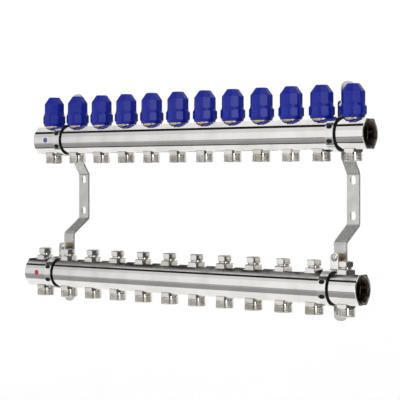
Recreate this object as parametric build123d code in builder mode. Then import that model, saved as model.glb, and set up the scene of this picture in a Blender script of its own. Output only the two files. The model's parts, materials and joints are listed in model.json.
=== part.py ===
from build123d import *
import math
import os

# Underfloor heating manifold, twelve circuits, millimetres, +Z up.
# Origin: the wall plane (Y = 0) at the middle of the left bracket's two wall slots.
# The bars run along +X and stand in front of the wall, on the -Y side.

# ---------------------------------------------------------------- driving dimensions
circuit_count = 12
circuit_pitch = 50.0
bar_spacing = 210.0  # return bar's axis above the supply bar's axis
bar_offset = 20.0  # supply bar's axis in front of the return bar's axis
bracket_span = (circuit_count - 2) * circuit_pitch

bar_radius = 21.5  # front and back of the bar
bar_flat_width = 21.4
bar_half_height = 21.0
bar_bore_radius = 15.0
bar_overhang = 26.0  # from an end circuit to the bar's end
end_chamfer = 0.6

socket_radius = 16.6  # G1 female thread, at its major diameter
socket_length = 14.6
socket_lead_in = 2.0

seat_radius = 15.0  # spot faces under the fittings
seat_height = 20.2
top_hole_radius = 11.0
outlet_hole_radius = 10.0

groove_radius = 18.5
groove_left = -6.6
groove_right = 6.4
groove_lip_radius = 20.5  # where the right wall opens into a shallow cone
groove_cone_slope = 0.318  # rise over run
groove_clear_radius = 26.0

nipple_seat_height = -15.0
nipple_flange_flats = 25.0
nipple_flange_low = -24.9
nipple_neck_radius = 12.0
nipple_neck_low = -26.2
nipple_thread_radius = 13.2  # G3/4 male thread
nipple_low = -37.2
nipple_seat_bore = 7.0
nipple_bore_radius = 9.0
nipple_bore_high = -27.0
nipple_bore_low = -35.0
nipple_mouth_radius = 10.6

running_gap = 0.05
stem_radius = 2.5
disc_radius = 8.5
disc_low = nipple_seat_height + 0.1
disc_thickness = 3.0

insert_guide_radius = 7.0
insert_guide_low = 2.0
insert_shoulder = 15.4
insert_ring_radius = 13.2
insert_thread_low = 23.4
insert_thread_radius = 14.0  # M28 x 1.5 under the cap
insert_thread_high = 33.0
insert_nose_radius = 9.0
insert_nose_high = 37.0

cap_low = 22.2
cap_foot_radius = 15.4
cap_collar_low = 26.6
cap_collar_radius = 17.0
cap_collar_high = 39.4
cap_dome_low = 40.4
cap_dome_radius = 16.2
cap_dome_flat = 15.3
cap_shoulder = 58.0
cap_top = 68.8
cap_top_radius = 8.6
cap_facets = 8
cap_pad_radius = 18.2
cap_pad_flat = 17.5
cap_pad_low = 27.0
cap_pad_high = 38.4
cap_pad_gap = 3.6
cap_thread_bore = insert_thread_radius + 0.1
cap_thread_high = 34.6
cap_socket_radius = 10.4
cap_web = 44.0
pin_top = cap_web - running_gap

spindle_radius = 5.0
spindle_top = 33.0
spindle_low = -11.9
spindle_key_size = 5.0
spindle_key_depth = 4.0
lockshield_guide_radius = 8.0
lockshield_flats = 24.0
lockshield_hex_high = 26.7
lockshield_waist_radius = 8.2
lockshield_waist_high = 29.0
lockshield_spigot_radius = 7.0
lockshield_spigot_high = 33.4
lock_cap_flats = 19.0
lock_cap_low = 29.4
lock_cap_high = 38.0
lock_cap_ceiling = 34.8

strip_width = 20.0
strip_thickness = 3.0
strip_bend = 6.0
strip_end_radius = 8.0
arm_gap = 27.0  # from a bar's axis back to the strip's front face
upper_arm_forward = 16.0  # return arm's face in front of the wall section's face
wall_section_low = -38.0
wall_section_high = 34.0
upper_arm_low = 56.0
lower_arm_high = -61.0
slot_width = 8.4
slot_length = 12.8
slot_spacing = 50.0
arm_reach_up = 75.0
arm_reach_down = 47.0

band_inner_radius = 23.1
band_thickness = 1.5
band_width = 12.6
ear_face = 11.0  # from the bar's axis back to the ear's front face
ear_height = 47.0
bolt_height = 41.0
hook_rise = 8.0
hook_gap = 1.2
stud_angle = 24.0
stud_length = 8.4
stud_width = 6.0
stud_proud = 0.7
liner_gap = 0.3
heel_half_height = 8.0
heel_root = 20.0
split_width = 1.0
fitting_clearance = 0.1

bolt_radius = 3.0
bolt_hole_radius = 3.3
bolt_head_radius = 5.4
bolt_head_height = 3.4
bolt_key_size = 4.0
bolt_tail = 4.0
nut_flats = 10.0
nut_thickness = 5.0

dot_radius = 4.0
dot_thickness = 0.3

# ---------------------------------------------------------------- places
return_y = -(arm_gap + strip_thickness + upper_arm_forward)
supply_y = return_y - bar_offset
supply_z = -122.0
return_z = supply_z + bar_spacing
circuit_x = [circuit_pitch * (number - 0.5) for number in range(circuit_count)]
bracket_x = [0.0, bracket_span]
bar_left = circuit_x[0] - bar_overhang
bar_length = (circuit_count - 1) * circuit_pitch + 2 * bar_overhang
bar_axes = {"return": (return_y, return_z), "supply": (supply_y, supply_z)}
return_ports = [(x, return_y, return_z) for x in circuit_x]
supply_ports = [(x, supply_y, supply_z) for x in circuit_x]
clamp_seats = [(x, y, z) for x in bracket_x for y, z in bar_axes.values()]

cone_run = (groove_clear_radius - groove_lip_radius) / groove_cone_slope
groove_outline = [
    (groove_left, groove_radius),
    (groove_right, groove_radius),
    (groove_right, groove_lip_radius),
    (groove_right + cone_run, groove_clear_radius),
    (groove_left, groove_clear_radius),
]

os.makedirs("parts", exist_ok=True)


def save(builder, name):
    """Label a finished sub-part and write its STEP file."""
    builder.part.label = name
    export_step(builder.part, f"parts/{name}.step")


def hexagon(across_flats, low, high, bevel_low, bevel_high):
    """A hexagon on the Z axis whose corners are turned off below and above."""
    corner = across_flats / math.sqrt(3)
    outside = corner + 1
    with BuildPart() as prism:
        with BuildSketch(Plane.XY.offset(low)):
            RegularPolygon(across_flats / 2, 6, major_radius=False)
        extrude(amount=high - low)
        with BuildSketch(Plane.XZ):
            with BuildLine():
                Polyline(
                    (corner - bevel_low, low),
                    (outside, low),
                    (outside, low + (bevel_low + 1) * 0.6),
                    close=True,
                )
            make_face()
            with BuildLine():
                Polyline(
                    (corner - bevel_high, high),
                    (outside, high),
                    (outside, high - (bevel_high + 1) * 0.6),
                    close=True,
                )
            make_face()
        revolve(axis=Axis.Z, mode=Mode.SUBTRACT)
    return prism.part


# ---------------------------------------------------------------- the two bars
for bar_name, (axis_y, axis_z) in bar_axes.items():
    section_plane = Plane(origin=(bar_left, axis_y, axis_z), x_dir=(0, 1, 0), z_dir=(1, 0, 0))
    far_end = section_plane.offset(bar_length)
    length_plane = Plane(origin=(0, axis_y, axis_z), x_dir=(1, 0, 0), z_dir=(0, -1, 0))
    bar_axis = Axis((0, axis_y, axis_z), (1, 0, 0))
    with BuildPart() as bar:
        with BuildSketch(section_plane):
            Circle(bar_radius)
            Rectangle(bar_flat_width, 2 * bar_half_height)
            make_hull()
        extrude(amount=bar_length)
        end_outlines = bar.edges().group_by(Axis.X)
        chamfer(end_outlines[0] + end_outlines[-1], length=end_chamfer)
        # through bore and a threaded socket at each end
        with BuildSketch(section_plane):
            Circle(bar_bore_radius)
        extrude(amount=bar_length, mode=Mode.SUBTRACT)
        with BuildSketch(section_plane):
            Circle(socket_radius)
        extrude(amount=socket_length, mode=Mode.SUBTRACT)
        with BuildSketch(far_end):
            Circle(socket_radius)
        extrude(amount=-socket_length, mode=Mode.SUBTRACT)
        # turned work about the bar's axis: lead-ins and the two clamp grooves
        with BuildSketch(length_plane):
            for end_x, inward in ((bar_left, 1), (bar_left + bar_length, -1)):
                with BuildLine():
                    Polyline(
                        (end_x, socket_radius - socket_lead_in),
                        (end_x, socket_radius + socket_lead_in),
                        (end_x + inward * 2 * socket_lead_in, socket_radius - socket_lead_in),
                        close=True,
                    )
                make_face()
            for groove_x in bracket_x:
                with BuildLine():
                    Polyline(*[(groove_x + x, radius) for x, radius in groove_outline], close=True)
                make_face()
        revolve(axis=bar_axis, mode=Mode.SUBTRACT)
        # spot face and hole for every fitting, above and below
        for facing, hole_radius in ((1, top_hole_radius), (-1, outlet_hole_radius)):
            seat_plane = Plane(
                origin=(0, axis_y, axis_z + facing * seat_height),
                x_dir=(1, 0, 0),
                z_dir=(0, 0, facing),
            )
            with BuildSketch(seat_plane):
                with Locations(*[(x, 0) for x in circuit_x]):
                    Circle(seat_radius)
            extrude(amount=bar_half_height, mode=Mode.SUBTRACT)
            with BuildSketch(seat_plane):
                with Locations(*[(x, 0) for x in circuit_x]):
                    Circle(hole_radius)
            extrude(amount=-seat_height, mode=Mode.SUBTRACT)
    save(bar, f"{bar_name}_bar")

# ---------------------------------------------------------------- outlet nipples
with BuildPart() as nipple:
    with BuildSketch(Plane.XZ):
        with BuildLine():
            Polyline(
                (nipple_seat_bore, nipple_seat_height),
                (outlet_hole_radius, nipple_seat_height),
                (outlet_hole_radius, -seat_height),
                (nipple_neck_radius, -seat_height),
                (nipple_neck_radius, nipple_neck_low),
                (nipple_thread_radius, nipple_neck_low - 0.8),
                (nipple_thread_radius, nipple_low + 0.8),
                (nipple_thread_radius - 0.8, nipple_low),
                (nipple_mouth_radius, nipple_low),
                (nipple_bore_radius, nipple_bore_low),
                (nipple_bore_radius, nipple_bore_high),
                (nipple_seat_bore, nipple_bore_high),
                close=True,
            )
        make_face()
    revolve(axis=Axis.Z)
    add(hexagon(nipple_flange_flats, nipple_flange_low, -seat_height, 0.6, 0.0))
    with BuildSketch(Plane.XY.offset(-seat_height)):
        Circle(nipple_seat_bore)
    extrude(amount=nipple_flange_low + seat_height, mode=Mode.SUBTRACT)

with BuildPart() as outlet_nipples:
    with Locations(*return_ports, *supply_ports):
        add(nipple.part)
save(outlet_nipples, "outlet_nipples")

# ---------------------------------------------------------------- return valves
with BuildPart() as insert:
    with BuildSketch(Plane.XZ):
        with BuildLine():
            Polyline(
                (stem_radius + running_gap, insert_guide_low),
                (insert_guide_radius, insert_guide_low),
                (insert_guide_radius, insert_shoulder),
                (top_hole_radius - running_gap, insert_shoulder),
                (top_hole_radius - running_gap, seat_height),
                (insert_ring_radius, seat_height),
                (insert_ring_radius, insert_thread_low),
                (insert_thread_radius, insert_thread_low),
                (insert_thread_radius, insert_thread_high),
                (insert_nose_radius, insert_thread_high),
                (insert_nose_radius, insert_nose_high),
                (stem_radius + running_gap, insert_nose_high),
                close=True,
            )
        make_face()
    revolve(axis=Axis.Z)

with BuildPart() as valve_inserts:
    with Locations(*return_ports):
        add(insert.part)
save(valve_inserts, "valve_inserts")

with BuildPart() as stem:
    with BuildSketch(Plane.XZ):
        with BuildLine():
            Polyline(
                (0, disc_low),
                (disc_radius, disc_low),
                (disc_radius, disc_low + disc_thickness),
                (stem_radius, disc_low + 2 * disc_thickness),
                (stem_radius, pin_top),
                (0, pin_top),
                close=True,
            )
        make_face()
    revolve(axis=Axis.Z)

for number, place in enumerate(return_ports, start=1):
    with BuildPart() as valve_stem:
        with Locations(place):
            add(stem.part)
    save(valve_stem, f"valve_stem_{number:02d}")

with BuildPart() as cap:
    with BuildSketch(Plane.XZ):
        with BuildLine():
            Polyline(
                (0, cap_low),
                (cap_foot_radius, cap_low),
                (cap_collar_radius, cap_collar_low),
                (cap_collar_radius, cap_collar_high),
                (cap_dome_radius, cap_dome_low),
                (cap_dome_radius, cap_shoulder),
                (cap_top_radius, cap_top),
                (0, cap_top),
                close=True,
            )
        make_face()
    revolve(axis=Axis.Z)
    fillet(cap.edges().filter_by(GeomType.CIRCLE).sort_by(Axis.Z)[-1], radius=0.8)
    # eight shallow flats on the dome, in line with eight raised grip pads on the collar
    with BuildSketch(Plane.XY.offset(cap_dome_low)):
        Circle(cap_dome_radius + 1)
        RegularPolygon(
            cap_dome_flat,
            cap_facets,
            major_radius=False,
            rotation=180 / cap_facets,
            mode=Mode.SUBTRACT,
        )
    extrude(amount=cap_top - cap_dome_low, mode=Mode.SUBTRACT)
    with BuildSketch(Plane.XY.offset(cap_pad_low)):
        RegularPolygon(
            cap_pad_flat,
            cap_facets,
            major_radius=False,
            rotation=180 / cap_facets,
        )
        Circle(cap_pad_radius, mode=Mode.INTERSECT)
        Circle(cap_dome_radius, mode=Mode.SUBTRACT)
        with PolarLocations(cap_collar_radius, cap_facets, start_angle=180 / cap_facets):
            Rectangle(2 * (cap_pad_radius - cap_dome_radius), cap_pad_gap, mode=Mode.SUBTRACT)
    extrude(amount=cap_pad_high - cap_pad_low)
    # threaded bore and the web that presses on the valve pin
    with BuildSketch(Plane.XZ):
        with BuildLine():
            Polyline(
                (0, cap_low),
                (cap_thread_bore, cap_low),
                (cap_thread_bore, cap_thread_high),
                (cap_socket_radius, cap_thread_high),
                (cap_socket_radius, cap_web),
                (0, cap_web),
                close=True,
            )
        make_face()
    revolve(axis=Axis.Z, mode=Mode.SUBTRACT)

for number, place in enumerate(return_ports, start=1):
    with BuildPart() as manual_cap:
        with Locations(place):
            add(cap.part)
    save(manual_cap, f"manual_cap_{number:02d}")

# ---------------------------------------------------------------- supply lockshield valves
with BuildPart() as lockshield:
    with BuildSketch(Plane.XZ):
        with BuildLine():
            Polyline(
                (0, insert_guide_low),
                (lockshield_guide_radius, insert_guide_low),
                (lockshield_guide_radius, insert_shoulder),
                (top_hole_radius - running_gap, insert_shoulder),
                (top_hole_radius - running_gap, seat_height),
                (lockshield_waist_radius + 2, lockshield_hex_high - 1),
                (lockshield_waist_radius, lockshield_hex_high + 1),
                (lockshield_waist_radius, lockshield_waist_high),
                (lockshield_spigot_radius, lockshield_waist_high),
                (lockshield_spigot_radius, lockshield_spigot_high),
                (0, lockshield_spigot_high),
                close=True,
            )
        make_face()
    revolve(axis=Axis.Z)
    add(hexagon(lockshield_flats, seat_height, lockshield_hex_high, 0.0, 1.6))
    with BuildSketch(Plane.XY.offset(insert_guide_low)):
        Circle(spindle_radius + running_gap)
    extrude(amount=lockshield_spigot_high - insert_guide_low, mode=Mode.SUBTRACT)

with BuildPart() as lockshield_bodies:
    with Locations(*supply_ports):
        add(lockshield.part)
save(lockshield_bodies, "lockshield_bodies")

with BuildPart() as spindle:
    with BuildSketch(Plane.XZ):
        with BuildLine():
            Polyline(
                (0, spindle_low),
                (disc_radius - 1, spindle_low),
                (disc_radius, spindle_low + 1),
                (disc_radius, spindle_low + disc_thickness),
                (spindle_radius, spindle_low + 2 * disc_thickness),
                (spindle_radius, spindle_top),
                (0, spindle_top),
                close=True,
            )
        make_face()
    revolve(axis=Axis.Z)
    # hexagon key socket
    with BuildSketch(Plane.XY.offset(spindle_top)):
        RegularPolygon(spindle_key_size / 2, 6, major_radius=False)
    extrude(amount=-spindle_key_depth, mode=Mode.SUBTRACT)

with BuildPart() as lock_cap:
    add(hexagon(lock_cap_flats, lock_cap_low, lock_cap_high, 2.6, 2.2))
    with BuildSketch(Plane.XY.offset(lock_cap_low)):
        Circle(lockshield_spigot_radius + 0.1)
    extrude(amount=lock_cap_ceiling - lock_cap_low, mode=Mode.SUBTRACT)

for number, place in enumerate(supply_ports, start=1):
    with BuildPart() as balancing_spindle:
        with Locations(place):
            add(spindle.part)
    save(balancing_spindle, f"balancing_spindle_{number:02d}")
    with BuildPart() as lockshield_cap:
        with Locations(place):
            add(lock_cap.part)
    save(lockshield_cap, f"lockshield_cap_{number:02d}")

# ---------------------------------------------------------------- brackets
half_strip = strip_thickness / 2
strip_line = [
    (return_y + arm_gap + half_strip, return_z + arm_reach_up),
    (return_y + arm_gap + half_strip, upper_arm_low),
    (-half_strip, wall_section_high),
    (-half_strip, wall_section_low),
    (supply_y + arm_gap + half_strip, lower_arm_high),
    (supply_y + arm_gap + half_strip, supply_z - arm_reach_down),
]
hook_height = band_inner_radius + band_thickness / 2

for bracket_name, middle_x in zip(("left_bracket", "right_bracket"), bracket_x):
    side_plane = Plane(origin=(middle_x, 0, 0), x_dir=(0, 1, 0), z_dir=(1, 0, 0))
    wall_plane = Plane(origin=(middle_x, 0, 0), x_dir=(1, 0, 0), z_dir=(0, -1, 0))
    with BuildPart() as bracket:
        with BuildSketch(side_plane):
            with BuildLine() as bends:
                FilletPolyline(*strip_line, radius=strip_bend)
            trace(line_width=strip_thickness)
        extrude(amount=strip_width / 2, both=True)
        end_edges = bracket.edges().filter_by(Axis.Y)
        fillet(end_edges, radius=strip_end_radius)
        # two upright wall slots
        with BuildSketch(wall_plane):
            with Locations((0, slot_spacing / 2), (0, -slot_spacing / 2)):
                SlotOverall(slot_length, slot_width, rotation=90)
        extrude(amount=2 * strip_thickness, mode=Mode.SUBTRACT)
        # on each arm, the clamp bolt's hole and the slot that the band hooks into
        for axis_y, axis_z in bar_axes.values():
            arm_plane = Plane(
                origin=(middle_x, axis_y + arm_gap + strip_thickness, axis_z),
                x_dir=(1, 0, 0),
                z_dir=(0, -1, 0),
            )
            with BuildSketch(arm_plane):
                with Locations((0, bolt_height)):
                    Circle(bolt_hole_radius)
                with Locations((0, -hook_height)):
                    Rectangle(band_width + 0.6, band_thickness + 0.4)
            extrude(amount=strip_thickness, mode=Mode.SUBTRACT)
    save(bracket, bracket_name)

# ---------------------------------------------------------------- clamps
band_mid_radius = band_inner_radius + band_thickness / 2
ear_line = ear_face + band_thickness / 2
hook_line = arm_gap + strip_thickness + hook_gap + band_thickness / 2
clamp_side = Plane(origin=(0, 0, 0), x_dir=(0, 1, 0), z_dir=(1, 0, 0))
stud_planes = [
    Plane(
        origin=(0, 0, 0),
        x_dir=(1, 0, 0),
        z_dir=(0, -math.cos(math.radians(angle)), math.sin(math.radians(angle))),
    )
    for angle in (stud_angle, -stud_angle)
]

with BuildPart() as band:
    with BuildSketch(clamp_side):
        with BuildLine():
            FilletPolyline(
                (ear_line, ear_height),
                (ear_line, band_mid_radius),
                (0, band_mid_radius),
                radius=2.4,
            )
            CenterArc((0, 0), band_mid_radius, 90, 180)
            FilletPolyline(
                (0, -band_mid_radius),
                (hook_line, -band_mid_radius),
                (hook_line, -band_mid_radius + hook_rise),
                radius=1.6,
            )
        trace(line_width=band_thickness)
    extrude(amount=band_width / 2, both=True)
    ear_corners = band.edges().filter_by(Axis.Y).sort_by(Axis.Z)[-2:]
    fillet(ear_corners, radius=4.0)
    with BuildSketch(Plane(origin=(0, 0, bolt_height), x_dir=(1, 0, 0), z_dir=(0, 1, 0))):
        Circle(bolt_hole_radius)
    extrude(amount=2 * ear_face, mode=Mode.SUBTRACT)
    for stud_plane in stud_planes:
        with BuildSketch(stud_plane.offset(band_inner_radius - 2)):
            SlotOverall(stud_length, stud_width)
        extrude(amount=band_thickness + 4, mode=Mode.SUBTRACT)

with BuildPart() as clamp_bands:
    with Locations(*clamp_seats):
        add(band.part)
save(clamp_bands, "clamp_bands")

ring_middle = (groove_left + groove_right) / 2
ring_width = groove_right - groove_left - 2 * liner_gap
with BuildPart() as liner:
    # rubber that fills the groove flush with the bar's faces
    with BuildSketch(Plane.XZ):
        with BuildLine():
            Polyline(*groove_outline, close=True)
        make_face()
    revolve(axis=Axis.X)
    with BuildSketch(clamp_side.offset(groove_left + liner_gap)):
        Circle(bar_radius)
        Rectangle(bar_flat_width, 2 * bar_half_height)
        make_hull()
    extrude(amount=bar_half_height + groove_clear_radius, mode=Mode.INTERSECT)
    # room for the band over the whole groove
    with BuildSketch(clamp_side.offset(groove_left)):
        Circle(2 * groove_clear_radius)
        Circle(band_inner_radius, mode=Mode.SUBTRACT)
    extrude(amount=groove_right - groove_left, mode=Mode.SUBTRACT)
    # ring under the band
    with BuildSketch(clamp_side.offset(groove_left + liner_gap)):
        Circle(band_inner_radius)
        Circle(groove_radius, mode=Mode.SUBTRACT)
    extrude(amount=ring_width)
    # studs that lock the liner into the band
    for stud_plane in stud_planes:
        with BuildSketch(stud_plane.offset(heel_root)):
            SlotOverall(stud_length - 0.2, stud_width - 0.2)
        extrude(amount=band_inner_radius + band_thickness + stud_proud - heel_root)
    # flat heel that rests on the bracket, with the split that lets the liner open
    with BuildSketch(Plane.XZ.offset(-arm_gap)):
        with Locations((ring_middle, 0)):
            Rectangle(ring_width, 2 * heel_half_height)
    extrude(amount=arm_gap - heel_root)
    with BuildSketch(Plane.XZ.offset(-arm_gap)):
        Rectangle(4 * groove_clear_radius, split_width)
    extrude(amount=arm_gap, mode=Mode.SUBTRACT)
    # hollows that clear the fittings beside the clamp
    for facing in (1, -1):
        with BuildSketch(Plane.XY.offset(facing * seat_height)):
            with Locations((circuit_pitch / 2, 0)):
                Circle(seat_radius + fitting_clearance)
        extrude(amount=facing * bar_half_height, mode=Mode.SUBTRACT)

with BuildPart() as clamp_liners:
    with Locations(*clamp_seats):
        add(liner.part)
save(clamp_liners, "clamp_liners")

# The bolt's own axis is drawn along Z, then laid along +Y.
bolt_dome_radius = (bolt_head_radius**2 + bolt_head_height**2) / (2 * bolt_head_height)
bolt_length = arm_gap + strip_thickness + bolt_tail - ear_face
with BuildPart() as bolt:
    with BuildSketch(Plane.XZ):
        with BuildLine():
            Line((0, -bolt_head_height), (0, bolt_length))
            Line((0, bolt_length), (bolt_radius - 0.6, bolt_length))
            Line((bolt_radius - 0.6, bolt_length), (bolt_radius, bolt_length - 0.6))
            Line((bolt_radius, bolt_length - 0.6), (bolt_radius, 0))
            Line((bolt_radius, 0), (bolt_head_radius, 0))
            RadiusArc((bolt_head_radius, 0), (0, -bolt_head_height), bolt_dome_radius)
        make_face()
    revolve(axis=Axis.Z)
    with BuildSketch(Plane.XY.offset(-bolt_head_height)):
        RegularPolygon(bolt_key_size / 2, 6, major_radius=False)
    extrude(amount=2.2, mode=Mode.SUBTRACT)

with BuildPart() as nut:
    add(hexagon(nut_flats, -nut_thickness, 0, 0.5, 0.5))
    with BuildSketch(Plane.XY.offset(-nut_thickness)):
        Circle(bolt_radius + running_gap)
    extrude(amount=nut_thickness, mode=Mode.SUBTRACT)

bolt_seats = [Location((x, y + ear_face, z + bolt_height), (-90, 0, 0)) for x, y, z in clamp_seats]
nut_seats = [Location((x, y + arm_gap, z + bolt_height), (-90, 0, 0)) for x, y, z in clamp_seats]

with BuildPart() as clamp_bolts:
    with Locations(*bolt_seats):
        add(bolt.part)
save(clamp_bolts, "clamp_bolts")

with BuildPart() as clamp_nuts:
    with Locations(*nut_seats):
        add(nut.part)
save(clamp_nuts, "clamp_nuts")

# ---------------------------------------------------------------- colour dots
with BuildPart() as dot:
    with BuildSketch(Plane.XZ.offset(bar_radius - 2)):
        Circle(dot_radius)
    extrude(amount=4)
    with BuildSketch(Plane.YZ):
        Circle(bar_radius + dot_thickness)
    extrude(amount=dot_radius + 1, both=True, mode=Mode.INTERSECT)
    with BuildSketch(Plane.YZ):
        Circle(bar_radius)
    extrude(amount=dot_radius + 1, both=True, mode=Mode.SUBTRACT)

with BuildPart() as colour_dots:
    with Locations(return_ports[0], supply_ports[0]):
        add(dot.part)
save(colour_dots, "colour_dots")
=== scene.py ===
# %% [markdown]
# # An underfloor heating manifold, from frame to finish
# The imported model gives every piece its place. It is loaded first and never moved: the bars,
# caps and brackets made below are set into it, and each rides on the body that carries it.

# %% Load the frame
import json
import math

import bmesh
import bpy
from mathutils import Matrix, Vector


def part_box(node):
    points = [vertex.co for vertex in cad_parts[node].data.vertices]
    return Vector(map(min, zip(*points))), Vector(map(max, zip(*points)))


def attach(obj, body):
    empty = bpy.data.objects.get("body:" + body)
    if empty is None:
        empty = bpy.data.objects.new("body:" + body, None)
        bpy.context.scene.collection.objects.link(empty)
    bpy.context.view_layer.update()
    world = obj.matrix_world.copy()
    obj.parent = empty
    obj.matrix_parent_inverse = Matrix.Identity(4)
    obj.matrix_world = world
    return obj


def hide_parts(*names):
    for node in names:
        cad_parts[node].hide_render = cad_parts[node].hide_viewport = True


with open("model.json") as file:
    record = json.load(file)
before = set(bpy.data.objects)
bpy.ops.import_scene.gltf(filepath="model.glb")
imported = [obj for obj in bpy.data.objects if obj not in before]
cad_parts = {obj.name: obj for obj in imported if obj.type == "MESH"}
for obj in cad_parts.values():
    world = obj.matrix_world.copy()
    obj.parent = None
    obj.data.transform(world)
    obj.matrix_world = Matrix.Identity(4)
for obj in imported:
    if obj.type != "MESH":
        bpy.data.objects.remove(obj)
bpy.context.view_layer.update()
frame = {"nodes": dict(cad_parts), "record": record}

# %% [markdown]
# ## Where things are
# The record's joints stand on the valves' axes, so they say where the twelve circuits are on
# each bar, and its wall mounts say where the brackets are. Sizes below are in millimetres, the
# unit that a fitter measures with, and `mm` turns them into Blender's metres.

# %% Read the places from the frame
mm = 0.001
joints = {joint["name"]: joint for joint in frame["record"]["behaviour"]["joints"]}
mounts = {mount["name"]: mount for mount in frame["record"]["mounts"]}


def circuit_places(prefix):
    """The points on a bar's axis under its circuits, from the turning joints with this prefix."""
    names = sorted(name for name in joints if name.startswith(prefix) and name.endswith("_turn"))
    return [Vector(joints[name]["pos_m"]) for name in names]


return_places = circuit_places("manual_cap_")
supply_places = circuit_places("lockshield_cap_")
bracket_x = [mounts[side + "_wall_slots"]["pos_m"][0] for side in ("left", "right")]
bar_ends = [corner.x for corner in map(Vector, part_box("return_bar"))]
pitch = return_places[1].x - return_places[0].x
print("circuits", len(return_places), "pitch", round(pitch / mm, 1), "mm")

# %% [markdown]
# ## Skinning and turning
# Nearly all of a manifold is turned on a lathe, cut from bar stock or bent from strip. So three
# small makers do most of the work. `skin` closes a mesh through rings of points, `turned` makes
# those rings by spinning an outline about Z, and `swept`, which comes with the brackets, makes
# them by carrying a flat strip along a bent line. Modelling by hand would give the same shapes,
# but a formula keeps the real radii and is easy to change.

# %% Skins, turned shapes and copies
def skin(rings, loop=False):
    """A closed mesh through rings of points. loop joins the last ring to the first."""
    count = len(rings[0])
    points = [point for ring in rings for point in ring]
    faces = []
    for row in range(len(rings) if loop else len(rings) - 1):
        this, above = row * count, (row + 1) % len(rings) * count
        for column in range(count):
            beside = (column + 1) % count
            faces.append((this + column, this + beside, above + beside, above + column))
    if not loop:
        faces.append(tuple(reversed(range(count))))
        faces.append(tuple(range(len(points) - count, len(points))))
    mesh = bpy.data.meshes.new("blank")
    mesh.from_pydata(points, [], faces)
    return tidy(mesh)


def tidy(mesh):
    """Merges doubled points, drops faces with no area and turns every face outwards."""
    work = bmesh.new()
    work.from_mesh(mesh)
    bmesh.ops.remove_doubles(work, verts=work.verts, dist=1e-7)
    bmesh.ops.dissolve_degenerate(work, edges=work.edges, dist=1e-7)
    bmesh.ops.recalc_face_normals(work, faces=work.faces)
    work.to_mesh(mesh)
    work.free()
    return mesh


def turned(outline, steps=64, loop=False, thread=None):
    """Spins (radius, height) points in millimetres about Z. thread reshapes the radius on the way."""
    shape = thread or (lambda radius, height, turn: radius)
    rings = []
    for radius, height in outline:
        ring = []
        for step in range(steps):
            angle = 2 * math.pi * step / steps
            reach = shape(radius, height, step / steps) * mm
            ring.append((reach * math.cos(angle), reach * math.sin(angle), height * mm))
        rings.append(ring)
    return skin(rings, loop)


def polygon_ring(sides, across_flats, height, start=0.0):
    """The corners of a regular polygon round Z, in metres; start turns it, in degrees."""
    reach = across_flats / 2 / math.cos(math.pi / sides) * mm
    turns = [math.radians(start) + 2 * math.pi * side / sides for side in range(sides)]
    return [(reach * math.cos(turn), reach * math.sin(turn), height * mm) for turn in turns]


def moved(mesh, *matrices):
    """One mesh with a copy of this one at each matrix."""
    work = bmesh.new()
    for matrix in matrices:
        first = len(work.verts)
        work.from_mesh(mesh)
        work.verts.ensure_lookup_table()
        bmesh.ops.transform(work, matrix=matrix, verts=work.verts[first:])
    copies = bpy.data.meshes.new("blank")
    work.to_mesh(copies)
    work.free()
    return copies


def joined(*meshes):
    """One mesh of several, laid together but not welded."""
    work = bmesh.new()
    for mesh in meshes:
        work.from_mesh(mesh)
    whole = bpy.data.meshes.new("blank")
    work.to_mesh(whole)
    work.free()
    return whole


def at(x, y, z):
    """A move by millimetres."""
    return Matrix.Translation(Vector((x, y, z)) * mm)


# %% [markdown]
# ## Carving and softening edges
# A boolean cuts one closed mesh from another, as a milling cutter would. No real edge is a knife
# edge, and plated metal shows that more than anything: a thin bright line runs along each edge.
# So a bevel follows the cuts, and weighted normals keep the flats flat right up to it.

# %% Carve, bevel, smooth and set in place
def settled(mesh, *settings):
    """The mesh as its modifiers leave it. Each setting is a modifier's type and its values."""
    holder = bpy.data.objects.new("holder", mesh)
    bpy.context.scene.collection.objects.link(holder)
    for kind, values in settings:
        modifier = holder.modifiers.new(kind.lower(), kind)
        for key, value in values.items():
            setattr(modifier, key, value)
    graph = bpy.context.evaluated_depsgraph_get()
    result = bpy.data.meshes.new_from_object(holder.evaluated_get(graph))
    bpy.data.objects.remove(holder)
    return result


def carved(mesh, tool, operation="DIFFERENCE"):
    """The mesh after another closed mesh is cut from it, joined to it or crossed with it."""
    cutter = bpy.data.objects.new("cutter", tool)
    bpy.context.scene.collection.objects.link(cutter)
    values = {"operation": operation, "solver": "EXACT", "object": cutter}
    result = settled(mesh, ("BOOLEAN", values))
    bpy.data.objects.remove(cutter)
    return tidy(result)


def edged(mesh, width, from_angle=25.0, segments=2):
    """Bevels every edge sharper than from_angle by width millimetres."""
    values = {
        "width": width * mm,
        "segments": segments,
        "limit_method": "ANGLE",
        "angle_limit": math.radians(from_angle),
        "use_clamp_overlap": True,
    }
    return settled(mesh, ("BEVEL", values))


def smoothed(mesh, crease=30.0):
    """Smooth shading that breaks at edges sharper than crease and stays flat on the flats."""
    mesh.shade_smooth()
    mesh.set_sharp_from_angle(angle=math.radians(crease))
    return settled(mesh, ("WEIGHTED_NORMAL", {"keep_sharp": True}))


def piece(name, mesh, finish, body, nodes, place=(0, 0, 0)):
    """Sets a finished mesh into the frame: its place, finish, body and the nodes it stands for."""
    made = bpy.data.objects.new(name, mesh)
    bpy.context.scene.collection.objects.link(made)
    made.location = place
    mesh.materials.clear()
    mesh.materials.append(finish)
    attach(made, body)
    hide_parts(*nodes)
    return made


# %% [markdown]
# ## Shader maths in plain Python
# A material here is a recipe of nodes. `Signal` wraps a node's output, so that `1 - mask` or
# `0.1 + 0.2 * noise` adds the Math nodes by itself. `Finish` holds one material and has a single
# method for every other node: its type, its settings and what goes into its sockets.

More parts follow.
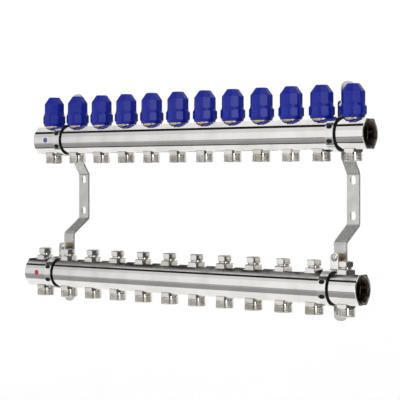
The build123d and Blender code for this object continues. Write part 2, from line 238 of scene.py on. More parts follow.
# %% Signal and Finish
class Signal:
    """A node's output that Python's operators work on, each adding a Math node."""

    def __init__(self, finish, socket):
        self.finish, self.socket = finish, socket

    def math(self, operation, *values):
        return self.finish.node("Math", {"operation": operation}, dict(enumerate(values)))

    def __add__(self, other):
        return self.math("ADD", self, other)

    def __sub__(self, other):
        return self.math("SUBTRACT", self, other)

    def __rsub__(self, other):
        return self.math("SUBTRACT", other, self)

    def __mul__(self, other):
        return self.math("MULTIPLY", self, other)

    def __gt__(self, other):
        return self.math("GREATER_THAN", self, other)

    __radd__ = __add__
    __rmul__ = __mul__


class Finish:
    """One material: a Principled shader with its constants, and the nodes that vary it."""

    def __init__(self, name, **constants):
        self.material = bpy.data.materials.new(name)
        self.material.use_nodes = True
        self.tree = self.material.node_tree
        self.shader = self.tree.nodes["Principled BSDF"]
        for key, value in constants.items():
            self.shader.inputs[key.replace("_", " ")].default_value = value

    def node(self, kind, settings=None, sockets=None, output=0):
        """Any node: its type, its settings, then the values or links of its sockets."""
        made = self.tree.nodes.new("ShaderNode" + kind)
        for key, value in (settings or {}).items():
            setattr(made, key, value)
        for key, value in (sockets or {}).items():
            self.plug(made.inputs[key], value)
        return Signal(self, made.outputs[output])

    def plug(self, socket, value):
        if isinstance(value, Signal):
            self.tree.links.new(value.socket, socket)
        else:
            socket.default_value = value

    def feed(self, **signals):
        for key, value in signals.items():
            self.plug(self.shader.inputs[key.replace("_", " ")], value)
        return self.material

    def place(self):
        """The point on the piece, in metres from its own origin."""
        return self.node("TexCoord", output="Object")

    def noise(self, scale, detail=2.0, stretch=(1, 1, 1)):
        """Soft random cloud, scale patches to the metre, drawn out along an axis by stretch."""
        where = self.node("VectorMath", {"operation": "MULTIPLY"}, {0: self.place(), 1: stretch})
        return self.node("TexNoise", {}, {"Vector": where, "Scale": scale, "Detail": detail})

    def patches(self, scale, low, high, detail=3.0):
        """A noise spread out so that it runs from 0 at low to 1 at high."""
        sockets = {"Value": self.noise(scale, detail), "From Min": low, "From Max": high}
        return self.node("MapRange", {"clamp": True}, sockets)

    def mix(self, factor, first, second):
        """One colour fading into another."""
        settings = {"data_type": "RGBA"}
        return self.node("Mix", settings, {0: factor, 6: (*first, 1), 7: (*second, 1)}, output=2)

    def bump(self, height, depth):
        """A Bump node: a height from 0 to 1 stands for this many millimetres."""
        sockets = {"Height": height, "Distance": depth * mm, "Strength": 1.0}
        return self.node("Bump", {}, sockets)


# %% [markdown]
# ## Plated brass
# The bars and fittings are brass with a bright nickel and chrome plate. A perfect mirror looks
# false: real plate has faint waves from the polishing wheel, and smears that dull it here and
# there. Both come from noise, one in the bump and one in the roughness. The fittings are small
# forgings polished in a drum, so they are a little softer and greyer than the bars. Plate hardly
# reaches the inside of a bar, so there the finish turns to bare, stained brass, with painted shade
# that makes it nearly black.

# %% Bar plate and fitting plate
def plate(name, bright, dull, smooth, rough, wave, wave_scale, plated_from=0.0):
    """Bright plate. Nearer the piece's own X axis than plated_from millimetres it is bare, stained
    brass, darkened further with painted shade.
    """
    finish = Finish(name, Metallic=1.0)
    smear = finish.patches(28.0, 0.42, 0.68, detail=4.0)
    speck = finish.noise(900.0)
    ripple = finish.noise(wave_scale, 1.0, stretch=(0.35, 1, 1))
    colour = finish.mix(smear, bright, dull)
    roughness = smooth + (rough - smooth) * smear + 0.02 * speck
    if plated_from:
        across = finish.node("VectorMath", {"operation": "MULTIPLY"}, {0: finish.place(), 1: (0, 1, 1)})
        reach = finish.node("VectorMath", {"operation": "LENGTH"}, {0: across}, output=1)
        outside = reach > plated_from * mm
        # Inside the bore: bare, stained brass, its colours made far darker than brass as painted shade.
        bore_stain_and_shade = finish.mix(finish.patches(90.0, 0.4, 0.65), (0.070, 0.050, 0.032), (0.030, 0.022, 0.014))
        colour = finish.node("Mix", {"data_type": "RGBA"}, {0: outside, 6: bore_stain_and_shade, 7: colour}, output=2)
        roughness = roughness + 0.16 * (1 - outside)
    return finish.feed(
        Base_Color=colour,
        Roughness=roughness,
        Normal=finish.bump(ripple, wave),
    )


bar_plate = plate(
    "bar_plate", (0.86, 0.84, 0.82), (0.78, 0.76, 0.73), 0.035, 0.085, 0.010, 45.0, plated_from=18.45
)
fitting_plate = plate(
    "fitting_plate", (0.78, 0.76, 0.73), (0.62, 0.59, 0.53), 0.06, 0.12, 0.010, 140.0
)

# %% [markdown]
# ## Bare brass, steel, zinc and yellow zinc
# The valve inserts stay unplated, so a brass ring shows under each blue cap, with fine tool
# marks round it. The strip parts are bright zinc, drawn through rollers, so their grain runs
# along the strip. The stems are plain turned steel. The nuts are passivated yellow, which is
# never one colour, so it drifts here between straw and brown.

# %% Brass, zinc and steel
def tool_marks(finish, rings_per_mm):
    """Fine rings round the piece's own axis, as a lathe leaves."""
    settings = {"wave_type": "BANDS", "bands_direction": "Z"}
    scale = rings_per_mm / mm / 20 * 2 * math.pi
    sockets = {"Vector": finish.place(), "Scale": scale, "Distortion": 1.5, "Detail": 2.0}
    return finish.node("TexWave", settings, sockets)


brass = Finish("bare_brass", Metallic=1.0)
tarnish = brass.patches(160.0, 0.4, 0.7)
bare_brass = brass.feed(
    Base_Color=brass.mix(tarnish, (0.72, 0.61, 0.41), (0.56, 0.45, 0.27)),
    Roughness=0.22 + 0.16 * tarnish,
    Normal=brass.bump(tool_marks(brass, 2.5), 0.02),
)


def zinc(name, bright, dull, smooth, rough, stretch, relief):
    """Grey metal whose grain is drawn out by stretch, with a soft bloom that dulls it."""
    finish = Finish(name, Metallic=1.0)
    grain = finish.noise(1400.0, 3.0, stretch)
    bloom = finish.patches(60.0, 0.38, 0.66, detail=4.0)
    return finish.feed(
        Base_Color=finish.mix(bloom, bright, dull),
        Roughness=smooth + (rough - smooth) * bloom + 0.1 * grain,
        Normal=finish.bump(grain, relief),
    )


strip_grain, band_grain, turned_grain = (1, 0.06, 0.06), (1, 0.1, 0.1), (1, 1, 6)
strip_zinc = zinc("strip_zinc", (0.62, 0.62, 0.605), (0.55, 0.55, 0.535), 0.20, 0.27, strip_grain, 0.02)
band_zinc = zinc("band_zinc", (0.86, 0.86, 0.85), (0.80, 0.80, 0.79), 0.12, 0.18, band_grain, 0.006)
stem_steel = zinc("stem_steel", (0.66, 0.66, 0.66), (0.58, 0.58, 0.58), 0.16, 0.24, turned_grain, 0.02)

passivate = Finish("yellow_zinc", Metallic=1.0)
drift = passivate.patches(220.0, 0.35, 0.65)
yellow_zinc = passivate.feed(
    Base_Color=passivate.mix(drift, (0.52, 0.38, 0.16), (0.36, 0.24, 0.16)),
    Roughness=0.24 + 0.12 * drift,
    Normal=passivate.bump(passivate.noise(1800.0), 0.02),
)

# %% [markdown]
# ## Blue plastic, rubber and the printed dots
# The caps are moulded from a deep ultramarine plastic with a soft sheen and a fine spark-eroded
# grain. The raised edges, found by the mesh's own pointiness, are coloured a little paler. The
# clamp liners are matt rubber, and the dots are a thin glossy film, blue on the upper
# bar and red on the lower one, so one material picks its colour by height.

# %% Plastic, rubber and film
moulding = Finish("blue_plastic", IOR=1.5, Specular_IOR_Level=0.26)
cloud = moulding.patches(90.0, 0.35, 0.7)
# The raised edges are coloured a little paler where the mesh's pointiness is high.
raised_edge_pointiness = moulding.node("NewGeometry", output="Pointiness")
edge = moulding.node("MapRange", {"clamp": True}, {"Value": raised_edge_pointiness, "From Min": 0.52, "From Max": 0.62})
grain = moulding.noise(2600.0, 2.0)
blue_plastic = moulding.feed(
    Base_Color=moulding.mix(0.30 * edge + 0.20 * cloud, (0.004, 0.012, 0.26), (0.025, 0.042, 0.37)),
    Roughness=0.18 + 0.06 * cloud + 0.05 * grain,
    Normal=moulding.bump(grain, 0.02),
)

gum = Finish("black_rubber", IOR=1.5, Specular_IOR_Level=0.12)
dust = gum.patches(120.0, 0.5, 0.75)
black_rubber = gum.feed(
    Base_Color=gum.mix(dust, (0.008, 0.008, 0.009), (0.022, 0.022, 0.022)),
    Roughness=0.55 + 0.2 * dust,
    Normal=gum.bump(gum.noise(1500.0, 3.0), 0.05),
)

film = Finish("dot_film", IOR=1.45, Coat_Roughness=0.08)
height = film.node("SeparateXYZ", {}, {0: film.place()}, output="Z")
halfway = (return_places[0].z + supply_places[0].z) / 2
is_upper = height > halfway
print_grain = film.patches(700.0, 0.4, 0.6)
upper = film.mix(print_grain, (0.040, 0.085, 0.40), (0.030, 0.060, 0.30))
lower = film.mix(print_grain, (0.46, 0.016, 0.022), (0.36, 0.012, 0.018))
dot_film = film.feed(
    Base_Color=film.node("Mix", {"data_type": "RGBA"}, {0: is_upper, 6: lower, 7: upper}, output=2),
    Roughness=0.30 + 0.1 * print_grain,
    Coat_Weight=0.3 + 0.2 * print_grain,
)
print("finishes", len(bpy.data.materials))

# %% [markdown]
# ## The bars
# Each bar is a hollow section: round in front and behind, flat above and below, with flanks that
# run off the flats to meet the rounds. It is sawn off, its ends are chamfered and threaded, two
# grooves are turned for the clamps and a seat is faced for every fitting. Much the same order
# works here: one long blank, then turned cutters, then the bevel, then the fittings' holes, and
# last the bore, whose cutter carries a real helical pipe thread at each end.

# %% The blank's section
bar_radius = 21.5
bar_half_height = 21.0
flat_half_width = 10.7
end_chamfer = 0.6
corner_reach = math.hypot(flat_half_width, bar_half_height)
corner_angle = math.atan2(bar_half_height, flat_half_width)
tangent_angle = corner_angle - math.acos(bar_radius / corner_reach)
arc_steps = 26


def bar_section(x, inset=0.0):
    """One ring of the blank at x millimetres, its front towards -Y, drawn in by inset."""
    ring = []
    for facing in (-1, 1):
        for step in range(arc_steps + 1):
            angle = tangent_angle * (1 - 2 * step / arc_steps)
            y = facing * bar_radius * math.cos(angle)
            ring.append((x, y, -facing * bar_radius * math.sin(angle)))
            if step == arc_steps:
                ring.append((x, facing * flat_half_width, facing * bar_half_height))
                ring.append((x, -facing * flat_half_width, facing * bar_half_height))
    drawn_in = 1 - inset / bar_radius
    return [(x * mm, y * drawn_in * mm, z * drawn_in * mm) for x, y, z in ring]


bar_left, bar_right = (end / mm for end in bar_ends)
flank_angle = round(math.degrees(tangent_angle))
print("bar", round(bar_right - bar_left), "mm long, flank from", flank_angle, "deg")

# %% [markdown]
# The pipe thread is a helix: going round the bore, the ridge moves along by one pitch. So the
# radius at a point depends on the distance along the bore and the angle round it together. A
# cosine gives the rounded crests and roots that pipe threads have.

# %% Threads
def helix(minor, major, lead, first, last):
    """A radius that follows a thread between two heights and is left alone elsewhere."""

    def reshape(radius, height, turn):
        if not first <= height <= last:
            return radius
        fade = min(1.0, (height - first) / lead, (last - height) / lead)
        ridge = 0.5 - 0.5 * math.cos(2 * math.pi * (height / lead - turn))
        return major - (major - minor) * ridge * fade

    return reshape


def stations(first, last, lead, per_turn):
    """Heights that are close enough together to draw a thread of this lead."""
    count = max(2, round(abs(last - first) / lead * per_turn))
    return [first + (last - first) * step / count for step in range(count + 1)]


g1_major, g1_minor, g1_lead = 16.62, 15.15, 2.309
socket_depth = 14.6
bore_radius = 15.0
lead_in, thread_start = 2.0, 0.4


def bore_cutter():
    """The bar's whole inside as one solid about Z: threaded socket, bore, threaded socket."""
    length = bar_right - bar_left
    rows = []
    for depth in [-1.0, 0.0, *stations(thread_start, socket_depth, g1_lead, 8)]:
        rows.append((max(g1_minor, g1_major + lead_in - depth), depth))
    rows.append((bore_radius, socket_depth + 0.01))
    rows += [(radius, length - depth) for radius, depth in reversed(rows)]
    left = helix(g1_minor, g1_major, g1_lead, thread_start, socket_depth)
    right = helix(g1_minor, g1_major, g1_lead, length - socket_depth, length - thread_start)

    def reshape(radius, height, turn):
        if radius == bore_radius:
            return radius
        return max(radius, left(radius, height, turn), right(radius, height, turn))

    return turned(rows, steps=96, thread=reshape)


# %% [markdown]
# The cutters for the outside are rings and short cylinders, and they all end at `clear`, a reach
# that is outside the bar everywhere. A tool may hold many of them, so that the blank is carved
# once for each kind, but none may touch another inside one tool.

# %% Cut the two bars
groove_floor = 18.5
groove_left, groove_right = -6.6, 6.4
groove_lip, cone_slope = 20.5, 0.318
clear = 26.0
seat_radius, seat_height = 15.0, 20.2
insert_hole, outlet_hole = 11.0, 10.0
hole_foot, hole_head = 2.0, -2.1
along_x = Matrix.Rotation(math.pi / 2, 4, "Y")


def groove_cutter():
    """A clamp groove at each bracket, whose right wall opens into a shallow cone."""
    outline = [
        (groove_floor, groove_left),
        (groove_floor, groove_right),
        (groove_lip, groove_right),
        (clear, groove_right + (clear - groove_lip) / cone_slope),
        (clear, groove_left),
    ]
    groove = turned(outline, steps=128, loop=True)
    return moved(groove, *[at(x / mm, 0, 0) @ along_x for x in bracket_x])


def seat_cutter():
    """A spot face above and below for every circuit."""
    seat = turned([(0, seat_height), (seat_radius, seat_height), (seat_radius, clear), (0, clear)], 64)
    upside_down = Matrix.Rotation(math.pi, 4, "X")
    spots = [at(place.x / mm, 0, 0) for place in return_places]
    return moved(seat, *spots, *[spot @ upside_down for spot in spots])


def hole_cutter(above, below):
    """The fittings' holes, from each seat into the bore, with these radii."""
    top = turned([(0, hole_foot), (above, hole_foot), (above, clear), (0, clear)], 48)
    bottom = turned([(0, -clear), (below, -clear), (below, hole_head), (0, hole_head)], 48)
    spots = [at(place.x / mm, 0, 0) for place in return_places]
    return joined(moved(top, *spots), moved(bottom, *spots))


blank_stations = [
    (bar_left, end_chamfer),
    (bar_left + end_chamfer, 0.0),
    (bar_right - end_chamfer, 0.0),
    (bar_right, end_chamfer),
]
blank = skin([bar_section(x, inset) for x, inset in blank_stations])
outside = edged(carved(carved(blank, groove_cutter()), seat_cutter()), 0.25, from_angle=20.0)
drilled = carved(outside, hole_cutter(insert_hole, outlet_hole))
bar_mesh = carved(drilled, moved(bore_cutter(), at(bar_left, 0, 0) @ along_x))
bar_mesh = smoothed(bar_mesh, crease=28.0)
for side, places in (("return", return_places), ("supply", supply_places)):
    axis = (0, places[0].y, places[0].z)
    piece(side + "_bar", bar_mesh, bar_plate, "root", [side + "_bar"], axis)
print("bar faces", len(bar_mesh.polygons))

# %% [markdown]
# ## The outlets
# Under each circuit a nipple is screwed into the bar. It has a hexagon to hold it by, a short
# neck and a three-quarter inch male thread for the floor pipe's union nut, with a mouth that the
# pipe insert seats in. The hexagon is a six-sided bar crossed with a turned double cone, which
# is exactly how the curved corners of a real nut come about.

# %% Hexagons and outlets
def hexagon(across_flats, low, high, bevel_low, bevel_high):
    """A hexagon about Z whose corners are turned off at both ends."""
    corner = across_flats / math.sqrt(3)
    slope = 0.6
    stock = skin([polygon_ring(6, across_flats, height) for height in (low, high)])
    ends = turned(
        [
            (0, low - 0.1),
            (corner - bevel_low - 0.1 / slope, low - 0.1),
            (corner + 0.5, low + (bevel_low + 0.5) * slope),
            (corner + 0.5, high - (bevel_high + 0.5) * slope),
            (corner - bevel_high - 0.1 / slope, high + 0.1),
            (0, high + 0.1),
        ],
        steps=96,
    )
    return carved(stock, ends, "INTERSECT")


g34_major, g34_minor, g34_lead = 13.2, 12.06, 1.814
g34_top, g34_end = -27.0, -36.4
nipple_rows = [(10.0, -15.0), (10.0, -20.3), (11.0, -20.4), (11.0, -24.8), (12.0, -24.85), (12.0, -26.2)]
nipple_rows += [(g34_major, height) for height in stations(g34_top, g34_end, g34_lead, 6)]
nipple_rows += [(12.4, -37.2), (10.6, -37.2), (9.0, -35.0), (9.0, -27.0), (7.0, -27.0), (7.0, -15.0)]
g34_thread = helix(g34_minor, g34_major, g34_lead, g34_end, g34_top)


def nipple_thread(radius, height, turn):
    return g34_thread(radius, height, turn) if radius == g34_major else radius


nipple = turned(nipple_rows, steps=48, loop=True, thread=nipple_thread)
collar = edged(hexagon(25.0, low=-24.9, high=-20.2, bevel_low=0.9, bevel_high=0.1), 0.2)
collar = carved(collar, turned([(0, -30), (11.5, -30), (11.5, -15), (0, -15)], 48))
outlet = smoothed(joined(nipple, collar), crease=35.0)
every_outlet = [Matrix.Translation(place) for place in return_places + supply_places]
outlet_mesh = moved(outlet, *every_outlet)
piece("outlet_nipples", outlet_mesh, fitting_plate, "root", ["outlet_nipples"])
print("outlet faces", len(outlet_mesh.polygons))

# %% [markdown]
# ## The return valves
# A brass insert is screwed into the top of the return bar for every circuit. Its ring seals on
# the bar, and the fine metric thread above it takes the blue cap.

# %% Brass inserts
m28_major, m28_minor, m28_lead = 14.0, 13.08, 1.5
m28_foot, m28_top = 24.4, 32.4
insert_rows = [(7.0, 2.0), (7.0, 15.4), (10.95, 15.4), (10.95, 20.2), (13.0, 20.2), (13.2, 20.5)]
insert_rows += [(13.2, 23.1), (12.9, 23.4), (12.9, 24.0)]
insert_rows += [(m28_major, height) for height in stations(m28_foot, m28_top, m28_lead, 6)]
insert_rows += [(13.0, 33.0), (9.0, 33.0), (9.0, 36.6), (8.6, 37.0), (2.55, 37.0), (2.55, 2.0)]
m28_thread = helix(m28_minor, m28_major, m28_lead, m28_foot, m28_top)


def insert_thread(radius, height, turn):
    return m28_thread(radius, height, turn) if radius == m28_major else radius


insert = smoothed(turned(insert_rows, steps=48, loop=True, thread=insert_thread), crease=35.0)
insert_mesh = moved(insert, *[Matrix.Translation(place) for place in return_places])
piece("valve_inserts", insert_mesh, bare_brass, "root", ["valve_inserts"])
print("insert faces", len(insert_mesh.polygons))

# %% [markdown]
# ## The blue caps
# A cap is a turned dome with eight flats, a taper with eight facets, and a collar with eight flat
# grip pads. It could be built face by face, but crossing a turned body with an eight-sided
# pencil gives every facet its true edge. The pads are an eight-sided ring with a slot between
# each pair. Inside is the bore for the insert's thread.

# %% Mould the caps
dome_rows = [
    (0, 22.2),
    (15.4, 22.2),
    (17.0, 26.6),
    (17.0, 39.4),
    (16.3, 40.2),
    (16.3, 42.2),
    (15.9, 42.6),
    (16.2, 43.0),
    (16.2, 58.0),
    (8.6, 68.8),
    (0, 68.8),
]
pencil = [(27.0, 20.0), (27.0, 42.4), (15.3, 42.5), (15.3, 58.2), (8.1, 68.8), (8.1, 70.0)]
facet_turn = 22.5
pad_flat = 17.5
pad_inner, pad_outer = 16.9, 18.2


def cap_body():
    """The dome and the taper with their flats and facets, still solid."""
    body = turned(dome_rows, steps=96)
    facets = skin([polygon_ring(8, 2 * reach, height, facet_turn) for reach, height in pencil])
    return carved(body, facets, "INTERSECT")


def grip_ring():
    """Eight flat pads round the collar, each a little proud of it."""
    low, high = 27.0, 38.4
    ring = skin([polygon_ring(8, 2 * pad_flat, height, facet_turn) for height in (low, high)])
    round_off = turned([(0, 20), (pad_outer, 20), (pad_outer, 45), (0, 45)], 96)
    ring = carved(ring, round_off, "INTERSECT")
    slot_ring = [(pad_inner, -1.8), (20.0, -1.8), (20.0, 1.8), (pad_inner, 1.8)]
    slot = skin([[(x * mm, y * mm, z * mm) for x, y in slot_ring] for z in (low - 1, high + 1)])
    turns = [math.radians(facet_turn + 45 * number) for number in range(8)]
    return carved(ring, moved(slot, *[Matrix.Rotation(turn, 4, "Z") for turn in turns]))


cap_mesh = carved(cap_body(), grip_ring(), "UNION")
cap_mesh = edged(cap_mesh, 0.3, from_angle=24.0)
hollow = [(0, 20), (14.1, 20), (14.1, 34.6), (10.4, 34.6), (10.4, 44.0), (0, 44.0)]
cap_mesh = smoothed(carved(cap_mesh, turned(hollow, 64)), crease=11.0)
for number, place in enumerate(return_places, start=1):
    name = f"manual_cap_{number:02d}"
    piece(name, cap_mesh, blue_plastic, name, [name], place)
print("cap faces", len(cap_mesh.polygons))

# %% [markdown]
# ## The lockshield valves
# On the supply bar each circuit is balanced once, with a key, and then covered. The body is a
# hexagon with a waist above it; the cover is a smaller hexagon, bevelled at both ends.

# %% Lockshield bodies and covers
body_rows = [(8.0, 2.0), (8.0, 15.4), (10.95, 15.4), (10.95, 20.3), (10.9, 26.6), (9.6, 26.75)]
body_rows += [(8.2, 27.9), (8.2, 29.0), (7.0, 29.0), (7.0, 33.0), (6.6, 33.4), (5.05, 33.4), (5.05, 2.0)]
valve_body = turned(body_rows, 64, loop=True)
flange = edged(hexagon(24.0, low=20.2, high=26.7, bevel_low=0.2, bevel_high=1.6), 0.25)
flange = carved(flange, turned([(0, 15), (10.9, 15), (10.9, 30), (0, 30)], 64))
lockshield = smoothed(joined(valve_body, flange), crease=30.0)
body_mesh = moved(lockshield, *[Matrix.Translation(place) for place in supply_places])
piece("lockshield_bodies", body_mesh, fitting_plate, "root", ["lockshield_bodies"])

cover = edged(hexagon(19.0, low=29.4, high=38.0, bevel_low=2.6, bevel_high=2.2), 0.25)
cover = carved(cover, turned([(0, 29), (7.1, 29), (7.1, 34.8), (0, 34.8)], 64))
dimple = [(0, 37.6), (5.4, 37.6), (5.8, 38.2), (0, 38.2)]
cover = smoothed(carved(cover, turned(dimple, 64)), crease=30.0)
for number, place in enumerate(supply_places, start=1):
    name = f"lockshield_cap_{number:02d}"
    piece(name, cover, fitting_plate, name, [name], place)
print("lockshield faces", len(body_mesh.polygons), "cover faces", len(cover.polygons))

# %% [markdown]
# ## Brackets and clamps
# Both are bent strip, so both come from the same two makers. `rounded` puts an arc at each corner
# of a line, and `swept` carries a flat cross-section along it. Slots and holes are punched
# afterwards, and a fine bevel stands for the rolled edge.

# %% Bent strip
def rounded(corners, radii):
    """The line through these (y, z) corners with an arc of its own radius at each inner one."""
    line = [Vector(corners[0])]
    for before, corner, after, radius in zip(corners, corners[1:], corners[2:], radii):
        corner = Vector(corner)
        back = (Vector(before) - corner).normalized()
        on = (Vector(after) - corner).normalized()
        half = math.acos(max(-1.0, min(1.0, back.dot(on)))) / 2
        centre = corner + (back + on).normalized() * (radius / math.sin(half))
        start = corner + back * (radius / math.tan(half)) - centre
        end = corner + on * (radius / math.tan(half)) - centre
        sweep = start.angle_signed(end)
        count = max(4, math.ceil(abs(math.degrees(sweep)) / 5))
        for step in range(count + 1):
            line.append(centre + Matrix.Rotation(-sweep * step / count, 2) @ start)
    line.append(Vector(corners[-1]))
    return [a for a, b in zip(line, line[1:]) if (a - b).length > 1e-4] + [line[-1]]


def swept(line, width, thickness, start_radius=0.0, end_radius=0.0):
    """Strip of this width along a (y, z) line, with the corners of either end rounded."""

    def tip(point, inward, radius):
        """The rows of a rounded end: points along the strip, and how far it is narrower there."""
        steps = 8
        for step in range(steps if radius else 0):
            turn = math.pi / 2 * step / steps
            yield point + inward * radius * (1 - math.cos(turn)), radius * (1 - math.sin(turn))

    rows = list(tip(line[0], (line[1] - line[0]).normalized(), start_radius))
    inner = line[1:-1]
    ends = list(tip(line[-1], (line[-2] - line[-1]).normalized(), end_radius))
    first_full = line[0] + (line[1] - line[0]).normalized() * start_radius
    last_full = line[-1] + (line[-2] - line[-1]).normalized() * end_radius
    rows += [(point, 0.0) for point in [first_full, *inner, last_full]]
    rows += list(reversed(ends))
    rings = []
    for number, (point, narrower) in enumerate(rows):
        before = rows[max(number - 1, 0)][0]
        after = rows[min(number + 1, len(rows) - 1)][0]
        along = (after - before).normalized()
        side = Vector((-along.y, along.x)) * thickness / 2
        half = width / 2 - narrower
        ring = [(half, point + side), (-half, point + side), (-half, point - side), (half, point - side)]
        rings.append([(x * mm, spot.x * mm, spot.y * mm) for x, spot in ring])
    return skin(rings)


def slot_cutter(length, width, depth):
    """A round-ended slot along Z that cuts along Y; a hole when length and width are the same."""
    radius, straight = width / 2, (length - width) / 2
    steps = 40
    ring = []
    for step in range(steps):
        angle = 2 * math.pi * (step + 0.5) / steps
        shift = straight if math.sin(angle) > 0 else -straight
        ring.append((radius * math.cos(angle), shift + radius * math.sin(angle)))
    return skin([[(x * mm, y * mm, z * mm) for x, z in ring] for y in (-depth, depth)])


# %% [markdown]
# Two bends bring each arm of the bracket off the wall, far enough for its bar's clamp and nut. The
# lower arm reaches further out, so that the upper bar's pipes can run down behind the lower bar.

# %% Two brackets
return_y, return_z = return_places[0].y / mm, return_places[0].z / mm
supply_y, supply_z = supply_places[0].y / mm, supply_places[0].z / mm
strip_width, strip_thickness = 20.0, 3.0
arm_gap = 27.0
strip_line = rounded(
    [
        (return_y + arm_gap + strip_thickness / 2, return_z + 75.0),
        (return_y + arm_gap + strip_thickness / 2, 56.0),
        (-strip_thickness / 2, 34.0),
        (-strip_thickness / 2, -38.0),
        (supply_y + arm_gap + strip_thickness / 2, -61.0),
        (supply_y + arm_gap + strip_thickness / 2, supply_z - 47.0),
    ],
    [6.0, 6.0, 6.0, 6.0],
)
bracket = swept(strip_line, strip_width, strip_thickness, 8.0, 8.0)
wall_slot = slot_cutter(12.8, 8.4, 6.0)
bracket = carved(bracket, moved(wall_slot, at(0, 0, 25.0), at(0, 0, -25.0)))
bolt_height, hook_height = 41.0, 23.85
bolt_hole = slot_cutter(6.6, 6.6, 6.0)
arms = [(return_y + arm_gap, return_z), (supply_y + arm_gap, supply_z)]
bracket = carved(bracket, moved(bolt_hole, *[at(0, y, z + bolt_height) for y, z in arms]))
hook_ring = [(-6.6, -0.95), (6.6, -0.95), (6.6, 0.95), (-6.6, 0.95)]
hook_slot = skin([[(x * mm, y * mm, z * mm) for x, z in hook_ring] for y in (-6.0, 6.0)])
bracket = carved(bracket, moved(hook_slot, *[at(0, y, z - hook_height) for y, z in arms]))
bracket = smoothed(edged(bracket, 0.35, from_angle=40.0), crease=35.0)
for side, x in zip(("left", "right"), bracket_x):
    name = side + "_bracket"
    piece(name, bracket, strip_zinc, "root", [name], (x, 0, 0))
print("bracket faces", len(bracket.polygons))

# %% [markdown]
# A clamp band goes round the front of the bar over its rubber liner. Its ear stands up above the
# bar for the bolt, and its other end hooks into the bracket's strip. Two slots in front let the
# liner's studs through, which keeps the liner from creeping.

# %% Four clamp bands
band_radius, band_thickness, band_width = 23.85, 1.5, 12.6
ear_line, hook_line = 11.75, 31.95
band_line = rounded(
    [
        (ear_line, 47.0),
        (ear_line, band_radius),
        (-band_radius, band_radius),
        (-band_radius, -band_radius),
        (hook_line, -band_radius),
        (hook_line, -15.85),
    ],
    [2.4, band_radius, band_radius, 1.6],
)
band = swept(band_line, band_width, band_thickness, 4.0, 0.0)
band = carved(band, moved(bolt_hole, at(0, ear_line, bolt_height)))
stud_slot = moved(slot_cutter(8.4, 6.0, 3.0), at(0, -24, 0) @ Matrix.Rotation(math.pi / 2, 4, "Y"))
stud_turns = [Matrix.Rotation(math.radians(angle), 4, "X") for angle in (24.0, -24.0)]
band = carved(band, moved(stud_slot, *stud_turns))
band = smoothed(edged(band, 0.22, from_angle=40.0), crease=35.0)
first_places = (return_places[0], supply_places[0])
clamp_places = [(x, place.y, place.z) for x in bracket_x for place in first_places]
band_mesh = moved(band, *[Matrix.Translation(place) for place in clamp_places])
piece("clamp_bands", band_mesh, band_zinc, "root", ["clamp_bands"])
print("band faces", len(band_mesh.polygons))

# %% [markdown]
# ## Pieces that stay as they were drawn
# The liners, bolts, nuts, stems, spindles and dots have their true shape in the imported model, so
# they only get their finish.

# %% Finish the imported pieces
kept_finish = {
    "clamp_liners": black_rubber,
    "clamp_bolts": band_zinc,
    "clamp_nuts": yellow_zinc,
    "colour_dots": dot_film,
    "valve_stem": stem_steel,
    "balancing_spindle": bare_brass,
}
for name, node in frame["nodes"].items():
    for prefix, finish in kept_finish.items():
        if name.startswith(prefix):
            node.data.materials.clear()
            node.data.materials.append(finish)
print("kept nodes", sum(not node.hide_render for node in frame["nodes"].values()))

# %% [markdown]
# ## The studio
# Chrome has hardly any colour of its own. What shows in it is the room, so the room is built
# with care: a tall softbox in front, a ceiling that is white over the bars and grey behind them, a
# grey apron low down, a narrow strip light on the right with dark cloth on both sides of it, and
# dark cloth far to the left. Two black flags hang close to the bars. Each draws the thin dark
# line under one bar's top facet, and each is placed for the camera below, so the line is weaker
# or gone from other sides. Each panel gives its own nearly even light, and the lens doesn't see
# any of them.

# %% Long panels in front, above and below
def glow(name, level):
    """A panel's cloth: it gives this much light of its own, and a quarter less far to the left."""
    cloth = Finish(name, Base_Color=(0, 0, 0, 1), Roughness=1.0, Emission_Strength=level)
    cloth.shader.inputs["Specular IOR Level"].default_value = 0.0
    across = cloth.node("SeparateXYZ", {}, {0: cloth.place()}, output="X")
    fall = cloth.node("MapRange", {"clamp": True}, {"Value": across, "From Min": -2.2, "From Max": -0.7})
    weave = cloth.noise(6.0)
    return cloth.feed(Emission_Color=cloth.mix(0.9 * fall + 0.1 * weave, (0.74, 0.74, 0.75), (1, 1, 1)))


def panel(name, corners, level):
    """A sheet between four corners that only reflections see, and matt surfaces if it is bright."""
    mesh = bpy.data.meshes.new(name)
    mesh.from_pydata(corners, [], [(0, 1, 2, 3)])
    mesh.materials.append(glow(name, level))
    sheet = bpy.data.objects.new(name, mesh)
    bpy.context.scene.collection.objects.link(sheet)
    sheet.visible_camera = False
    sheet.visible_shadow = False
    sheet.visible_diffuse = level > 0.5
    return sheet


def long_panel(name, low, high, left, right, level):
    """A panel along X between two (y, z) lines."""
    (y0, z0), (y1, z1) = low, high
    return panel(name, [(left, y0, z0), (right, y0, z0), (right, y1, z1), (left, y1, z1)], level)


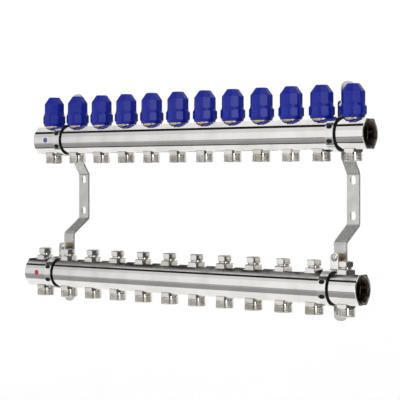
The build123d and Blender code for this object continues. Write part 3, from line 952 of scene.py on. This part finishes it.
floor_height = -0.62
apron_height = floor_height + 0.02
ceiling = 2.0
far_left, far_right, ceiling_right = -4.2, 1.15, 3.0
front, front_top = -2.2, 1.2
slant_end, white_from, grey_from, rear = -1.35, -0.72, 0.40, 2.4
card_end, apron_middle, apron_end = -1.60, -0.95, -0.32
front_foot = (front, apron_height)
front_head = (front, front_top)
front_panels = [
    ("front_softbox", front_foot, front_head, 1.02),
    ("front_softbox_top", front_head, (slant_end, ceiling), 0.84),
]
ceiling_panels = [
    ("top_softbox_front", slant_end, white_from, 0.76),
    ("top_softbox", white_from, grey_from, 1.0),
    ("rear_grey_ceiling", grey_from, rear, 0.35),
]
floor_panels = [
    ("floor_card", front, card_end, 0.95),
    ("far_apron", card_end, apron_middle, 0.44),
    ("near_apron", apron_middle, apron_end, 0.34),
]
for name, low, high, level in front_panels:
    long_panel(name, low, high, far_left, far_right, level)
for name, near, far, level in ceiling_panels:
    long_panel(name, (near, ceiling), (far, ceiling), far_left, ceiling_right, level)
for name, near, far, level in floor_panels:
    long_panel(name, (near, apron_height), (far, apron_height), far_left, far_right, level)
print("long panels", len(front_panels) + len(ceiling_panels) + len(floor_panels))

# %% [markdown]
# Both flags are about a metre long; the upper bar's is 11.5 centimetres wide and the lower bar's
# is 2.6. A dark wedge lies on the apron and narrows to the left, so the thin dark line that it
# gives the bars' middle fades out along them. The cloth beyond the strip light is the only dark
# one that matt surfaces and shadows see too.

# %% Flags, wedge, cloths and the strip light
upper_flag_height, lower_flag_height = 0.35, -0.05
long_panel(
    "upper_bar_flag", (-0.225, upper_flag_height), (-0.110, upper_flag_height), -0.6, 0.7, 0.01
)
long_panel(
    "lower_bar_flag", (-0.128, lower_flag_height), (-0.102, lower_flag_height), -0.4, 0.62, 0.02
)
wedge_height = apron_height + 0.01
wedge = [(-1.1, -1.60), (-0.5, -1.80), (0.4, -1.80), (0.4, -1.42)]
panel("centre_wedge", [(x, y, wedge_height) for x, y in wedge], 0.08)


def round_panel(name, from_azimuth, to_azimuth, low, high, level, reach=2.6):
    """An upright panel between two directions, in degrees from the front towards +X."""
    centre = Vector((sum(bar_ends) / 2, return_places[0].y, 0))
    feet = []
    for azimuth in (from_azimuth, to_azimuth):
        turn = math.radians(azimuth)
        feet.append(centre + Vector((math.sin(turn), -math.cos(turn), 0)) * reach)
    (x0, y0, _), (x1, y1, _) = feet
    return panel(name, [(x0, y0, low), (x1, y1, low), (x1, y1, high), (x0, y0, high)], level)


cloth_foot, cloth_head = -0.6, 1.6
round_panel("left_cloth", -150, -95, cloth_foot, 1.2, 0.08)
round_panel("lens_side_cloth", 24, 48, cloth_foot, cloth_head, 0.03)
round_panel("right_strip_light", 48, 62, cloth_foot, cloth_head, 3.6)
for side, from_azimuth, to_azimuth in (("near", 64, 100), ("far", 100, 150)):
    cloth = round_panel(
        f"right_cloth_{side}", from_azimuth, to_azimuth, cloth_foot, cloth_head, 0.09
    )
    cloth.visible_diffuse = True
    cloth.visible_shadow = True

# %% [markdown]
# The floor is plain, pale and matt, and it curves up into the backdrop, so that no horizon cuts
# behind the bars.

# %% Floor and backdrop
paper = Finish("backdrop_paper", Roughness=0.9, Emission_Strength=0.16)
paper.shader.inputs["Emission Color"].default_value = (1, 1, 1, 1)
fibre = paper.noise(30.0, 3.0)
backdrop_paper = paper.feed(
    Base_Color=paper.mix(fibre, (0.93, 0.93, 0.93), (0.90, 0.90, 0.90)),
    Normal=paper.bump(paper.noise(400.0), 0.05),
)
cove = rounded([(-3.2, floor_height), (rear, floor_height), (rear, 3.2)], [1.0])
rows = [[(x, y, z) for x in (-6.0, 6.0)] for y, z in cove]
sweep_mesh = bpy.data.meshes.new("backdrop")
faces = [(2 * row, 2 * row + 1, 2 * row + 3, 2 * row + 2) for row in range(len(rows) - 1)]
sweep_mesh.from_pydata([point for row in rows for point in row], [], faces)
sweep_mesh.shade_smooth()
sweep_mesh.materials.append(backdrop_paper)
backdrop = bpy.data.objects.new("backdrop", sweep_mesh)
bpy.context.scene.collection.objects.link(backdrop)

world = bpy.data.worlds.new("studio_air")
world.use_nodes = True
world.node_tree.nodes["Background"].inputs["Color"].default_value = (1.0, 1.0, 1.0, 1.0)
world.node_tree.nodes["Background"].inputs["Strength"].default_value = 1.0
bpy.context.scene.world = world
bpy.context.scene.view_settings.view_transform = "Standard"

# %% [markdown]
# ## The camera
# It stands two metres off, to the right of the manifold and a little above its middle, and looks
# level through a long lens, as for a catalogue picture. A small downward shift of the frame then
# puts the object in the middle.

# %% Camera
camera_data = bpy.data.cameras.new("camera")
camera_data.lens = 117.3
camera_data.sensor_width = 36.0
camera_data.shift_y = -0.0596
camera = bpy.data.objects.new("camera", camera_data)
bpy.context.scene.collection.objects.link(camera)
camera.location = (1.4052, -1.6020, 0.0305)
camera.rotation_euler = (math.pi / 2, 0, 0.632)
bpy.context.scene.camera = camera
